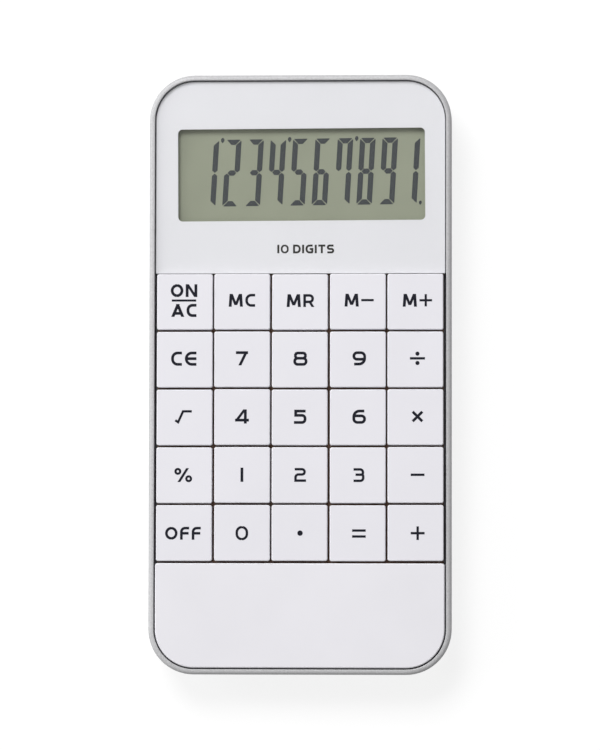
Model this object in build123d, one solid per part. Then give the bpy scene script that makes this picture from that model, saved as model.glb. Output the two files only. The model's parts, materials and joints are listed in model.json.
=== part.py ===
from build123d import *

import os
from math import cos, sin

# A slim desk calculator, lying on its back with its keys up.
# +X runs to the right of the face, +Y towards the display and +Z out of the face.
# The origin is under the middle of the body, on the surface that the feet stand on.

# Keys: the face is five rows of five square keys
KEY_ROWS = (
    ("on_ac", "mc", "mr", "m_minus", "m_plus"),
    ("ce", "7", "8", "9", "divide"),
    ("root", "4", "5", "6", "multiply"),
    ("percent", "1", "2", "3", "minus"),
    ("off", "0", "point", "equals", "plus"),
)
KEY_PITCH = 11.45
KEY_GAP = 0.4
KEY_CORNER = 0.4
KEY_EDGE = 0.2
KEY_TRAVEL = 0.8
CAP_HEIGHT = 2.05
CAP_ROOF = 1.0
CAP_WALL = 0.9
STEM_SIZE = 7.0
STEM_WALL = 0.8
STEM_CLEARANCE = 0.12
PLAY_SHARE = 0.35
PLAY_TURN = 2.4
PUSHER_RADIUS = 1.4
PUSHER_CLEARANCE = 0.05
HOOK_HEIGHT = 0.5
HOOK_REACH = 0.45
HOOK_WIDTH = 2.4
HOOK_CLEARANCE = 0.05
END_CLEARANCE = 0.1

# Body: the silver rim and what its corners and seams measure
CORNER_RADIUS = 9.0
RIM_WALL = 1.05
RIM_EDGE = 0.8
RIM_INNER_EDGE = 0.12
RIM_FOOT_EDGE = 0.25
FLANGE_THICKNESS = 1.0
SEAM_HEIGHT = 3.4
SIDE_GAP = 0.525
KEY_PROUD = 0.35

# Front plates: the display lens above the keys and the plain panel below them
LENS_GAP = 0.2
CHIN_GAP = 0.3
LENS_KEY_GAP = 0.15
CHIN_KEY_GAP = 0.45
PANEL_CORNER = 0.5
PANEL_EDGE = 0.25
LENS_RECESS = 0.15
LENS_THICKNESS = 0.6
ADHESIVE = 0.05
MASK_THICKNESS = 0.1
MASK_INSET = 0.05
CHIN_PROUD = 0.1

# Chassis: the dark inner frame that carries the plates and guides the keys
CHASSIS_FIT = 0.1
CHASSIS_WALL = 1.2
DECK_THICKNESS = 0.9
SHELF_THICKNESS = 1.0
STEP_INSET = 0.15
STEP_WALL = 1.2
OPENING_MARGIN = 0.8

# Display: a glass cell between two films, on a holder, joined to the board by a rubber strip
WINDOW_SIDE = 4.2
WINDOW_SHIFT = 0.2
WINDOW_TURN = 0.33
WINDOW_HEIGHT = 18.35
WINDOW_CORNER = 0.9
LCD_BORDER = 2.2
LCD_LEDGE = 3.4
LCD_TOP_GAP = 0.4
LCD_SEAT_GAP = 0.05
POLARISER_THICKNESS = 0.2
GLASS_THICKNESS = 0.6
REFLECTOR_THICKNESS = 0.2
FILM_INSET = 0.4
HOLDER_RAIL = 2.5
HOLDER_GAP = 1.4
STRIP_WIDTH = 1.7
STRIP_CLEARANCE = 0.3
STRIP_END = 4.0

# Rubber keypad and its carbon contacts
MAT_THICKNESS = 0.6
MAT_INSET = 0.2
DOME_RADIUS = 2.5
DOME_TOP_RADIUS = 1.8
DOME_WALL = 0.45
DOME_ROOF = 0.35
PILL_RADIUS = 1.2
PILL_THICKNESS = 0.25
MAT_HOLE_CLEARANCE = 0.3

# Circuit board and what is soldered under it
BOARD_THICKNESS = 1.0
BOARD_STANDOFF = 1.3
BOARD_FIT = 0.3
BOARD_BOSS_RADIUS = 1.7
BOARD_BOSS_SIDE = 1.85
CHIP_RADIUS = 3.6
CHIP_HEIGHT = 1.0
CHIP_EDGE = 0.7
CAPACITOR_SIZE = (2.0, 1.25, 0.85)
RESISTOR_SIZE = (1.6, 0.8, 0.5)
COMPONENT_PITCH = 3.0
COMPONENT_OFFSET = 7.0

# Rear cover, battery bay and sliding door
REAR_WALL = 1.3
REAR_INSET = 0.3
REAR_EDGE = 2.2
LIP_FIT = 0.1
LIP_WALL = 1.0
POST_RADIUS = 1.5
POST_CLEARANCE = 0.05
CELL_RADIUS = 5.8
CELL_HEIGHT = 3.05
CELL_CAP_RADIUS = 4.4
CELL_CAP_HEIGHT = 0.4
CELL_SIDE_CLEARANCE = 0.2
CELL_END_CLEARANCE = 0.05
BAY_WALL = 1.0
BAY_WALL_HEIGHT = 0.4
BAY_PLATE = 0.8
BAY_TOP_ROOM = 2.7
BAY_END_ROOM = 1.85
BAY_SHOULDER = 2.0
DOOR_HALF_WIDTH = 7.5
DOOR_FLANGE = 1.0
DOOR_LIP = 0.6
DOOR_CLEARANCE = 0.1
DOOR_SLIDE_GAP = 0.05
GRIP_COUNT = 4
GRIP_PITCH = 1.4
GRIP_WIDTH = 0.6
GRIP_LENGTH = 9.0
GRIP_DEPTH = 0.3
GRIP_START = 3.2

# Battery contacts
CONTACT_STRIP = 0.25
CONTACT_WIDTH = 3.0
CONTACT_PAD = 3.6
CONTACT_DIMPLE = 0.9
CONTACT_GAP = 0.05
CELL_HOLE_CLEARANCE = 0.6
TONGUE_MARGIN = 1.2

# Screws and feet
CASE_BOSS_RADIUS = 2.2
BOSS_FIT = 0.2
CASE_BOSS_SHIFT = 1.0
SEAT_DEPTH = 1.5
SEAT_BOSS_WALL = 1.1
CASE_SCREW_RADIUS = 1.0
CASE_SCREW_REACH = 4.4
CASE_HEAD_RADIUS = 1.75
CASE_HEAD_HEIGHT = 1.1
BOARD_SCREW_RADIUS = 0.8
BOARD_SCREW_REACH = 1.5
BOARD_HEAD_RADIUS = 1.6
BOARD_HEAD_HEIGHT = 0.8
PILOT_CLEARANCE = 0.03
SCREW_HOLE_CLEARANCE = 0.2
SLOT_WIDTH_SHARE = 0.32
SLOT_LENGTH_SHARE = 1.3
SLOT_DEPTH_SHARE = 0.5
FOOT_RADIUS = 3.0
FOOT_STANDOFF = 0.5
FOOT_SEAT = 0.5
FOOT_CLEARANCE = 0.1
FOOT_EDGE = 0.15
FOOT_SPACING = 3.4

# Heights above the table, from the feet up to the key tops
REAR_FACE_Z = FOOT_STANDOFF
FLOOR_Z = REAR_FACE_Z + REAR_WALL
BOARD_BOTTOM_Z = FLOOR_Z + BOARD_STANDOFF
BOARD_TOP_Z = BOARD_BOTTOM_Z + BOARD_THICKNESS
MAT_TOP_Z = BOARD_TOP_Z + MAT_THICKNESS
PILL_BOTTOM_Z = BOARD_TOP_Z + KEY_TRAVEL
PILL_TOP_Z = PILL_BOTTOM_Z + PILL_THICKNESS
DOME_TOP_Z = PILL_TOP_Z + DOME_ROOF
PUSHER_BOTTOM_Z = DOME_TOP_Z + PUSHER_CLEARANCE
HOOK_BOTTOM_Z = MAT_TOP_Z + KEY_TRAVEL + END_CLEARANCE
DECK_BOTTOM_Z = HOOK_BOTTOM_Z + HOOK_HEIGHT + HOOK_CLEARANCE
DECK_TOP_Z = DECK_BOTTOM_Z + DECK_THICKNESS
CAP_BOTTOM_Z = DECK_TOP_Z + KEY_TRAVEL + END_CLEARANCE
KEY_TOP_Z = CAP_BOTTOM_Z + CAP_HEIGHT
RIM_TOP_Z = KEY_TOP_Z - KEY_PROUD
LENS_TOP_Z = RIM_TOP_Z - LENS_RECESS
LENS_BOTTOM_Z = LENS_TOP_Z - LENS_THICKNESS
MASK_TOP_Z = LENS_BOTTOM_Z - ADHESIVE
SHELF_TOP_Z = MASK_TOP_Z - MASK_THICKNESS
SHELF_BOTTOM_Z = SHELF_TOP_Z - SHELF_THICKNESS
CHIN_TOP_Z = RIM_TOP_Z + CHIN_PROUD
FLANGE_TOP_Z = SEAM_HEIGHT + FLANGE_THICKNESS
LCD_TOP_Z = SHELF_BOTTOM_Z - LCD_SEAT_GAP
CELL_GLASS_TOP_Z = LCD_TOP_Z - POLARISER_THICKNESS
LEDGE_Z = CELL_GLASS_TOP_Z - GLASS_THICKNESS
CELL_GLASS_BOTTOM_Z = LEDGE_Z - GLASS_THICKNESS
LCD_BOTTOM_Z = CELL_GLASS_BOTTOM_Z - REFLECTOR_THICKNESS
DOOR_TOP_Z = FLOOR_Z - 2 * DOOR_SLIDE_GAP
DOOR_FLANGE_Z = REAR_FACE_Z + DOOR_LIP
BAY_PLATE_Z = FLOOR_Z - DOOR_SLIDE_GAP
BAY_PLATE_TOP_Z = BAY_PLATE_Z + BAY_PLATE
CELL_BOTTOM_Z = DOOR_TOP_Z + CELL_END_CLEARANCE
CELL_TOP_Z = CELL_BOTTOM_Z + CELL_HEIGHT
CASE_SEAT_Z = REAR_FACE_Z + SEAT_DEPTH
REAR_BOSS_TOP_Z = BOARD_BOTTOM_Z - 2 * POST_CLEARANCE

# Distances in from the body's outer edge
LENS_INSET = RIM_WALL + LENS_GAP
CHIN_INSET = RIM_WALL + CHIN_GAP
CHASSIS_INSET = RIM_WALL + CHASSIS_FIT
CHASSIS_INNER_INSET = CHASSIS_INSET + CHASSIS_WALL
LIP_INSET = CHASSIS_INNER_INSET + LIP_FIT
LIP_INNER_INSET = LIP_INSET + LIP_WALL
BOARD_INSET = LIP_INNER_INSET + BOARD_FIT

# The face, from the pieces that have to fit on it
KEY_SIZE = KEY_PITCH - KEY_GAP
FIELD_LENGTH = len(KEY_ROWS) * KEY_PITCH - KEY_GAP
FIELD_WIDTH = len(KEY_ROWS[0]) * KEY_PITCH - KEY_GAP
BAY_RADIUS = CELL_RADIUS + CELL_SIDE_CLEARANCE
BAY_OUTER_RADIUS = BAY_RADIUS + BAY_WALL
WINDOW_DROP = LCD_BORDER + LCD_TOP_GAP + 2 * CASE_BOSS_RADIUS + BOSS_FIT + LIP_INNER_INSET - LENS_INSET
WINDOW_RISE = STEP_INSET + 2 * BOARD_BOSS_RADIUS + HOLDER_GAP + LCD_LEDGE + LCD_BORDER
LENS_LENGTH = WINDOW_DROP + WINDOW_HEIGHT + WINDOW_RISE
CHIN_LENGTH = BAY_TOP_ROOM + 2 * BAY_OUTER_RADIUS + BAY_END_ROOM + LIP_INNER_INSET - CHIN_INSET
BODY_WIDTH = FIELD_WIDTH + 2 * (RIM_WALL + SIDE_GAP)
FACE_LENGTH = LENS_LENGTH + LENS_KEY_GAP + FIELD_LENGTH + CHIN_KEY_GAP + CHIN_LENGTH
BODY_LENGTH = LENS_INSET + FACE_LENGTH + CHIN_INSET

# Places along the face, from the top of the lens down to the battery
LENS_TOP_Y = BODY_LENGTH / 2 - LENS_INSET
WINDOW_TOP_Y = LENS_TOP_Y - WINDOW_DROP
WINDOW_BOTTOM_Y = WINDOW_TOP_Y - WINDOW_HEIGHT
LENS_BOTTOM_Y = LENS_TOP_Y - LENS_LENGTH
FIELD_TOP_Y = LENS_BOTTOM_Y - LENS_KEY_GAP
FIELD_BOTTOM_Y = FIELD_TOP_Y - FIELD_LENGTH
CHIN_TOP_Y = FIELD_BOTTOM_Y - CHIN_KEY_GAP
UPPER_STEP_Y = LENS_BOTTOM_Y + STEP_INSET
LOWER_STEP_Y = CHIN_TOP_Y - STEP_INSET
LCD_TOP_Y = WINDOW_TOP_Y + LCD_BORDER
REAR_GLASS_Y = WINDOW_BOTTOM_Y - LCD_BORDER
LCD_BOTTOM_Y = REAR_GLASS_Y - LCD_LEDGE
CELL_Y = CHIN_TOP_Y - BAY_TOP_ROOM - BAY_OUTER_RADIUS
WINDOW_WIDTH = BODY_WIDTH - 2 * (LENS_INSET + WINDOW_SIDE)
BOARD_HALF_WIDTH = BODY_WIDTH / 2 - BOARD_INSET
DOOR_TOP_Y = CELL_Y + BAY_OUTER_RADIUS + DOOR_CLEARANCE
TONGUE_HALF_WIDTH = BAY_OUTER_RADIUS + CONTACT_PAD + TONGUE_MARGIN
TONGUE_END_Y = CELL_Y - BAY_OUTER_RADIUS - DOOR_CLEARANCE

# Screw and foot places
CASE_SCREW_X = BODY_WIDTH / 2 - CORNER_RADIUS - CASE_BOSS_SHIFT
CASE_SCREW_Y = BODY_LENGTH / 2 - LIP_INNER_INSET - BOSS_FIT - CASE_BOSS_RADIUS
CASE_SCREWS = [(x, y) for x in (-CASE_SCREW_X, CASE_SCREW_X) for y in (-CASE_SCREW_Y, CASE_SCREW_Y)]
SEAT_RADIUS = CASE_HEAD_RADIUS + SCREW_HOLE_CLEARANCE
SEAT_BOSS_RADIUS = SEAT_RADIUS + SEAT_BOSS_WALL
UPPER_BOSS_Y = UPPER_STEP_Y + BOARD_BOSS_RADIUS
UPPER_BOSS_X = BOARD_HALF_WIDTH - BOARD_BOSS_SIDE
FOOT_Y = CASE_SCREW_Y - SEAT_BOSS_RADIUS - FOOT_SPACING - FOOT_RADIUS


def key_place(row, column):
    """The middle of a key's guide hole, as x and y."""
    x = (column - (len(KEY_ROWS[row]) - 1) / 2) * KEY_PITCH
    y = FIELD_TOP_Y - KEY_SIZE / 2 - row * KEY_PITCH
    return x, y


def key_play(row, column):
    """How far a key rests off the middle of its guide hole, as loose keys do."""
    play = PLAY_SHARE * STEM_CLEARANCE
    angle = PLAY_TURN * (row * len(KEY_ROWS[row]) + column)
    return play * cos(angle), play * sin(angle)


def key_places():
    return [key_place(row, column) for row in range(len(KEY_ROWS)) for column in range(len(KEY_ROWS[row]))]


def between_keys(row, column):
    """The crossing of the gaps below and to the right of a key."""
    x, y = key_place(row, column)
    return x + KEY_PITCH / 2, y - KEY_PITCH / 2


BOARD_SCREWS = [
    (-UPPER_BOSS_X, UPPER_BOSS_Y),
    (UPPER_BOSS_X, UPPER_BOSS_Y),
    between_keys(1, 0),
    between_keys(1, 3),
    between_keys(3, 0),
    between_keys(3, 3),
]
CHIP_PLACE = between_keys(0, 1)
BOARD_POSTS = [between_keys(1, 1), between_keys(3, 1), between_keys(1, 2), between_keys(3, 2)]


def outline(inset):
    """The body's rounded outline, moved in by a distance."""
    return RectangleRounded(BODY_WIDTH - 2 * inset, BODY_LENGTH - 2 * inset, CORNER_RADIUS - inset)


def stretch(low_y, high_y):
    """A strip across the whole body between two places along it."""
    return Pos(0, (low_y + high_y) / 2) * Rectangle(BODY_WIDTH, high_y - low_y)


def layer(sketch, low, high):
    """A flat outline given thickness between two heights."""
    return extrude(Pos(0, 0, low) * sketch, high - low)


def band(inset, inner_inset, low, high):
    return layer(outline(inset) - outline(inner_inset), low, high)


def block(x_ends, y_ends, z_ends):
    """A box between two places along each axis."""
    ends = (x_ends, y_ends, z_ends)
    centre = [(low + high) / 2 for low, high in ends]
    size = [high - low for low, high in ends]
    return Pos(*centre) * Box(*size)


def post(place, radius, low, high):
    """An upright round bar, or the hole for one."""
    return Pos(*place, (low + high) / 2) * Cylinder(radius, high - low)


def square(place, size, corner, low, high):
    """An upright square bar, or the hole for one."""
    shape = RectangleRounded(size, size, corner) if corner else Rectangle(size, size)
    return layer(Pos(*place) * shape, low, high)


def top_face(solid):
    return solid.faces().sort_by(Axis.Z)[-1]


def bottom_face(solid):
    return solid.faces().sort_by(Axis.Z)[0]


def bezel_ring():
    """The silver rim, with an inner flange that is clamped between the chassis and the rear cover."""
    ring = band(0, RIM_WALL, SEAM_HEIGHT, RIM_TOP_Z)
    ring = ring + band(0, CHASSIS_INNER_INSET, SEAM_HEIGHT, FLANGE_TOP_Z)
    ring = fillet(top_face(ring).outer_wire().edges(), RIM_EDGE)
    ring = fillet(top_face(ring).inner_wires()[0].edges(), RIM_INNER_EDGE)
    return fillet(bottom_face(ring).outer_wire().edges(), RIM_FOOT_EDGE)


def front_plate(inset, low_y, high_y, low, high):
    """A plate that fills the rim's opening between two places along the body."""
    plate = layer(outline(inset) & stretch(low_y, high_y), low, high)
    upright = plate.edges().filter_by(Axis.Z).group_by(Axis.Y)
    square_end = upright[0] if low_y > 0 else upright[-1]
    plate = fillet(square_end, PANEL_CORNER)
    return fillet(top_face(plate).edges(), PANEL_EDGE)


def window(margin):
    """The display window's outline, grown by a margin. It was bonded a touch askew."""
    place = Pos(WINDOW_SHIFT, (WINDOW_TOP_Y + WINDOW_BOTTOM_Y) / 2) * Rot(0, 0, WINDOW_TURN)
    size = (WINDOW_WIDTH + 2 * margin, WINDOW_HEIGHT + 2 * margin)
    return place * RectangleRounded(*size, WINDOW_CORNER + margin)


def display_lens():
    return front_plate(LENS_INSET, LENS_BOTTOM_Y, BODY_LENGTH / 2, LENS_BOTTOM_Z, LENS_TOP_Z)


def display_mask():
    """The white film bonded behind the lens, open at the display window."""
    film = outline(LENS_INSET + MASK_INSET) & stretch(LENS_BOTTOM_Y + MASK_INSET, BODY_LENGTH / 2)
    return layer(film - window(0), SHELF_TOP_Z, MASK_TOP_Z)


def lower_panel():
    return front_plate(CHIN_INSET, -BODY_LENGTH / 2, CHIN_TOP_Y, SHELF_TOP_Z, CHIN_TOP_Z)


def front_chassis():
    """The inner frame: a shelf for each front plate, a key deck between them, an edge wall, screw bosses."""
    upper = outline(CHASSIS_INSET) & stretch(UPPER_STEP_Y, BODY_LENGTH / 2)
    lower = outline(CHASSIS_INSET) & stretch(-BODY_LENGTH / 2, LOWER_STEP_Y)
    deck = outline(CHASSIS_INSET) & stretch(LOWER_STEP_Y - STEP_WALL, UPPER_STEP_Y + STEP_WALL)
    steps = (outline(CHASSIS_INSET) & stretch(UPPER_STEP_Y, UPPER_STEP_Y + STEP_WALL)) + (
        outline(CHASSIS_INSET) & stretch(LOWER_STEP_Y - STEP_WALL, LOWER_STEP_Y)
    )
    chassis = layer(deck, DECK_BOTTOM_Z, DECK_TOP_Z)
    chassis += layer(upper - window(OPENING_MARGIN), SHELF_BOTTOM_Z, SHELF_TOP_Z)
    chassis += layer(lower, SHELF_BOTTOM_Z, SHELF_TOP_Z)
    chassis += layer(steps, DECK_BOTTOM_Z, SHELF_TOP_Z)
    chassis += band(CHASSIS_INSET, CHASSIS_INNER_INSET, FLANGE_TOP_Z, DECK_TOP_Z)
    for place in CASE_SCREWS:
        chassis += post(place, CASE_BOSS_RADIUS, REAR_BOSS_TOP_Z, SHELF_TOP_Z)
    for place in BOARD_SCREWS:
        chassis += post(place, BOARD_BOSS_RADIUS, BOARD_TOP_Z, DECK_TOP_Z)
    for place in key_places():
        hole = STEM_SIZE + 2 * STEM_CLEARANCE
        chassis -= square(place, hole, 0, DECK_BOTTOM_Z, DECK_TOP_Z)
    for place in CASE_SCREWS:
        tip = CASE_SEAT_Z + CASE_SCREW_REACH + END_CLEARANCE
        chassis -= post(place, CASE_SCREW_RADIUS + PILOT_CLEARANCE, REAR_BOSS_TOP_Z, tip)
    for place in BOARD_SCREWS:
        tip = BOARD_TOP_Z + BOARD_SCREW_REACH + END_CLEARANCE
        chassis -= post(place, BOARD_SCREW_RADIUS + PILOT_CLEARANCE, BOARD_TOP_Z, tip)
    return chassis


def key():
    """One key at the origin: a hollow cap, a square guide stem with two hooks, and a pusher."""
    middle = (0, 0)
    roof_z = KEY_TOP_Z - CAP_ROOF
    cap = square(middle, KEY_SIZE, KEY_CORNER, CAP_BOTTOM_Z, KEY_TOP_Z)
    cap = fillet(top_face(cap).edges(), KEY_EDGE)
    cap -= square(middle, KEY_SIZE - 2 * CAP_WALL, 0, CAP_BOTTOM_Z, roof_z)
    stem = square(middle, STEM_SIZE, 0, HOOK_BOTTOM_Z, roof_z)
    stem -= square(middle, STEM_SIZE - 2 * STEM_WALL, 0, HOOK_BOTTOM_Z, roof_z)
    reach = STEM_SIZE / 2 + HOOK_REACH
    hook_top_z = HOOK_BOTTOM_Z + HOOK_HEIGHT
    hook_sides = ((-reach, -STEM_SIZE / 2), (STEM_SIZE / 2, reach))
    for side in hook_sides:
        stem += block(side, (-HOOK_WIDTH / 2, HOOK_WIDTH / 2), (HOOK_BOTTOM_Z, hook_top_z))
    return cap + stem + post(middle, PUSHER_RADIUS, PUSHER_BOTTOM_Z, roof_z)


def lcd_plate(low_y, inset, low, high):
    """One sheet of the display, from its lower edge up to the display's top edge."""
    half_width = BOARD_HALF_WIDTH - inset
    return block((-half_width, half_width), (low_y + inset, LCD_TOP_Y - inset), (low, high))


def lcd_cell():
    """The two bonded glass plates. The front one is longer and leaves a ledge for its contacts."""
    front = lcd_plate(LCD_BOTTOM_Y, 0, LEDGE_Z, CELL_GLASS_TOP_Z)
    return front + lcd_plate(REAR_GLASS_Y, 0, CELL_GLASS_BOTTOM_Z, LEDGE_Z)


def front_polariser():
    return lcd_plate(REAR_GLASS_Y, FILM_INSET, CELL_GLASS_TOP_Z, LCD_TOP_Z)


def rear_reflector():
    return lcd_plate(REAR_GLASS_Y, FILM_INSET, LCD_BOTTOM_Z, CELL_GLASS_BOTTOM_Z)


def strip_ends():
    """The connector strip's two long sides, under the display's ledge."""
    high_y = REAR_GLASS_Y - STRIP_CLEARANCE
    return high_y - STRIP_WIDTH, high_y


def zebra_strip():
    half_length = BOARD_HALF_WIDTH - STRIP_END
    return block((-half_length, half_length), strip_ends(), (BOARD_TOP_Z, LEDGE_Z))


def lcd_holder():
    """The frame that holds the display above the board, with a wall in front of the connector strip."""
    frame = lcd_plate(REAR_GLASS_Y, 0, BOARD_TOP_Z, LCD_BOTTOM_Z)
    frame -= lcd_plate(REAR_GLASS_Y, HOLDER_RAIL, BOARD_TOP_Z, LCD_BOTTOM_Z)
    width = (-BOARD_HALF_WIDTH, BOARD_HALF_WIDTH)
    wall_y = strip_ends()[0] - STRIP_CLEARANCE
    frame += block(width, (LCD_BOTTOM_Y, wall_y), (BOARD_TOP_Z, LEDGE_Z))
    for side in (-1, 1):
        ends = sorted((side * BOARD_HALF_WIDTH, side * (BOARD_HALF_WIDTH - HOLDER_RAIL)))
        frame += block(ends, (LCD_BOTTOM_Y, REAR_GLASS_Y), (BOARD_TOP_Z, LCD_BOTTOM_Z))
    return frame


def rubber_keypad():
    """One silicone sheet with a hollow dome under each key."""
    half_width = BOARD_HALF_WIDTH - MAT_INSET
    sides = (-half_width, half_width)
    mat = block(sides, (FIELD_BOTTOM_Y, FIELD_TOP_Y), (BOARD_TOP_Z, MAT_TOP_Z))
    rise = DOME_TOP_Z - MAT_TOP_Z
    hollow_rise = PILL_TOP_Z - MAT_TOP_Z
    for place in key_places():
        mat += Pos(*place, MAT_TOP_Z + rise / 2) * Cone(DOME_RADIUS, DOME_TOP_RADIUS, rise)
    for place in key_places():
        mat -= post(place, DOME_RADIUS - DOME_WALL, BOARD_TOP_Z, MAT_TOP_Z)
        hollow = Cone(DOME_RADIUS - DOME_WALL, DOME_TOP_RADIUS - DOME_WALL, hollow_rise)
        mat -= Pos(*place, MAT_TOP_Z + hollow_rise / 2) * hollow
    for place in BOARD_SCREWS:
        mat -= post(place, BOARD_BOSS_RADIUS + MAT_HOLE_CLEARANCE, BOARD_TOP_Z, MAT_TOP_Z)
    return mat


def carbon_pills():
    return [post(place, PILL_RADIUS, PILL_BOTTOM_Z, PILL_TOP_Z) for place in key_places()]


def circuit_board():
    """The board under the display and the keys, with a tongue around the battery."""
    main = outline(BOARD_INSET) & stretch(CHIN_TOP_Y, LCD_TOP_Y)
    tongue_middle = (TONGUE_END_Y + CHIN_TOP_Y) / 2
    tongue = Pos(0, tongue_middle) * Rectangle(2 * TONGUE_HALF_WIDTH, CHIN_TOP_Y - TONGUE_END_Y)
    board = layer(main + tongue, BOARD_BOTTOM_Z, BOARD_TOP_Z)
    board -= post((0, CELL_Y), CELL_RADIUS + CELL_HOLE_CLEARANCE, BOARD_BOTTOM_Z, BOARD_TOP_Z)
    for place in BOARD_SCREWS:
        hole = BOARD_SCREW_RADIUS + SCREW_HOLE_CLEARANCE
        board -= post(place, hole, BOARD_BOTTOM_Z, BOARD_TOP_Z)
    return board


def chip_blob():
    """The dome of epoxy over the bare chip, under the board."""
    blob = post(CHIP_PLACE, CHIP_RADIUS, BOARD_BOTTOM_Z - CHIP_HEIGHT, BOARD_BOTTOM_Z)
    return fillet(bottom_face(blob).edges(), CHIP_EDGE)


def component(size, step, row):
    """A small part soldered under the board beside the chip."""
    x, y = CHIP_PLACE
    width, length, height = size
    place = (x + COMPONENT_OFFSET + row * COMPONENT_PITCH, y + step * COMPONENT_PITCH)
    return Pos(*place, BOARD_BOTTOM_Z - height / 2) * Box(width, length, height)


def capacitors():
    return [component(CAPACITOR_SIZE, step, 0) for step in (-0.5, 0.5)]


def resistors():
    return [component(RESISTOR_SIZE, step, 1) for step in (-1, 0, 1)]


def rear_envelope():
    """The rear cover's outer shape, before it is hollowed."""
    envelope = layer(outline(REAR_INSET), REAR_FACE_Z, SEAM_HEIGHT)
    return fillet(bottom_face(envelope).edges(), REAR_EDGE)


def door_slot(clearance, low, flange_low, high):
    """The door's section along its whole slide: a narrow foot under a wider flange."""
    foot = DOOR_HALF_WIDTH + clearance
    flange = foot + DOOR_FLANGE
    run = (-BODY_LENGTH / 2, DOOR_TOP_Y + clearance)
    slot = block((-foot, foot), run, (low, high))
    return slot + block((-flange, flange), run, (flange_low, high))


def rear_cover():
    """The back shell: floor, edge, locating lip, battery bay, screw seats, foot seats and board posts."""
    cover = rear_envelope()
    cover -= layer(outline(LIP_INNER_INSET), FLOOR_Z, SEAM_HEIGHT)
    cover += band(LIP_INSET, LIP_INNER_INSET, FLOOR_Z, FLANGE_TOP_Z)
    cover -= door_slot(DOOR_CLEARANCE, REAR_FACE_Z, DOOR_FLANGE_Z, BAY_PLATE_Z)
    shoulder = DOOR_HALF_WIDTH + DOOR_FLANGE + BAY_SHOULDER
    plate = outline(LIP_INSET) & stretch(-BODY_LENGTH / 2, DOOR_TOP_Y + BAY_SHOULDER)
    plate = plate & Rectangle(2 * shoulder, BODY_LENGTH)
    cover += layer(plate, BAY_PLATE_Z, BAY_PLATE_TOP_Z)
    cell_place = (0, CELL_Y)
    cover += post(cell_place, BAY_OUTER_RADIUS, BAY_PLATE_Z, BAY_PLATE_TOP_Z + BAY_WALL_HEIGHT)
    cover -= post(cell_place, BAY_RADIUS, BAY_PLATE_Z, BAY_PLATE_TOP_Z + BAY_WALL_HEIGHT)
    for place in CASE_SCREWS:
        cover += post(place, SEAT_BOSS_RADIUS, FLOOR_Z, REAR_BOSS_TOP_Z)
        cover -= post(place, SEAT_RADIUS, REAR_FACE_Z, CASE_SEAT_Z)
        cover -= post(place, CASE_SCREW_RADIUS + SCREW_HOLE_CLEARANCE, CASE_SEAT_Z, REAR_BOSS_TOP_Z)
    for place in foot_places():
        cover -= post(place, FOOT_RADIUS + FOOT_CLEARANCE, REAR_FACE_Z, REAR_FACE_Z + FOOT_SEAT)
    for place in BOARD_POSTS:
        cover += post(place, POST_RADIUS, FLOOR_Z, BOARD_BOTTOM_Z - POST_CLEARANCE)
    return cover


def battery_door():
    """The sliding door: it follows the rear cover's outer shape and runs out past its lower end."""
    door = rear_envelope() & door_slot(0, REAR_FACE_Z, DOOR_FLANGE_Z + DOOR_SLIDE_GAP, DOOR_TOP_Z)
    half_length = GRIP_LENGTH / 2
    for step in range(GRIP_COUNT):
        low_y = DOOR_TOP_Y - GRIP_START - step * GRIP_PITCH - GRIP_WIDTH
        groove_z = (REAR_FACE_Z, REAR_FACE_Z + GRIP_DEPTH)
        door -= block((-half_length, half_length), (low_y, low_y + GRIP_WIDTH), groove_z)
    return door


def battery_cell():
    """A button cell: the can, stepped in to its cap on the inner side."""
    place = (0, CELL_Y)
    shoulder_z = CELL_TOP_Z - CELL_CAP_HEIGHT
    can = post(place, CELL_RADIUS, CELL_BOTTOM_Z, shoulder_z)
    return can + post(place, CELL_CAP_RADIUS, shoulder_z, CELL_TOP_Z)


def contact_pad(side):
    """Where a contact's strip lies on the board, beside the cell: the ends along X."""
    inner = side * BAY_OUTER_RADIUS
    return sorted((inner, inner + side * CONTACT_PAD))


def battery_contact_minus():
    """A leaf that rises from the board and presses on the cell's cap."""
    width = (CELL_Y - CONTACT_WIDTH / 2, CELL_Y + CONTACT_WIDTH / 2)
    arm_z = CELL_TOP_Z + 2 * CONTACT_GAP + CONTACT_STRIP
    pad_ends = contact_pad(1)
    leaf = block(pad_ends, width, (BOARD_TOP_Z, BOARD_TOP_Z + CONTACT_STRIP))
    leaf += block((pad_ends[0], pad_ends[0] + CONTACT_STRIP), width, (BOARD_TOP_Z, arm_z + CONTACT_STRIP))
    leaf += block((-CONTACT_WIDTH / 2, pad_ends[0] + CONTACT_STRIP), width, (arm_z, arm_z + CONTACT_STRIP))
    return leaf + post((0, CELL_Y), CONTACT_DIMPLE, CELL_TOP_Z + CONTACT_GAP, arm_z)


def battery_contact_plus():
    """A strip that bends down from the board against the side of the can."""
    width = (CELL_Y - CONTACT_WIDTH / 2, CELL_Y + CONTACT_WIDTH / 2)
    pad_ends = contact_pad(-1)
    touch = -CELL_RADIUS - CONTACT_GAP
    strip = block((pad_ends[0], touch), width, (BOARD_TOP_Z, BOARD_TOP_Z + CONTACT_STRIP))
    return strip + block((touch - CONTACT_STRIP, touch), width, (BOARD_BOTTOM_Z, BOARD_TOP_Z))


def screw(place, seat_z, radius, reach, head_radius, head_height):
    """A cross-slot screw driven up from below, with its head under seat_z."""
    head = post(place, head_radius, seat_z - head_height, seat_z)
    head = fillet(bottom_face(head).edges(), head_height / 3)
    length = head_radius * SLOT_LENGTH_SHARE
    width = head_radius * SLOT_WIDTH_SHARE
    depth = head_height * SLOT_DEPTH_SHARE
    middle = Pos(*place, seat_z - head_height + depth / 2)
    head -= middle * Box(length, width, depth)
    head -= middle * Box(width, length, depth)
    return head + post(place, radius, seat_z, seat_z + reach)


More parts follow.
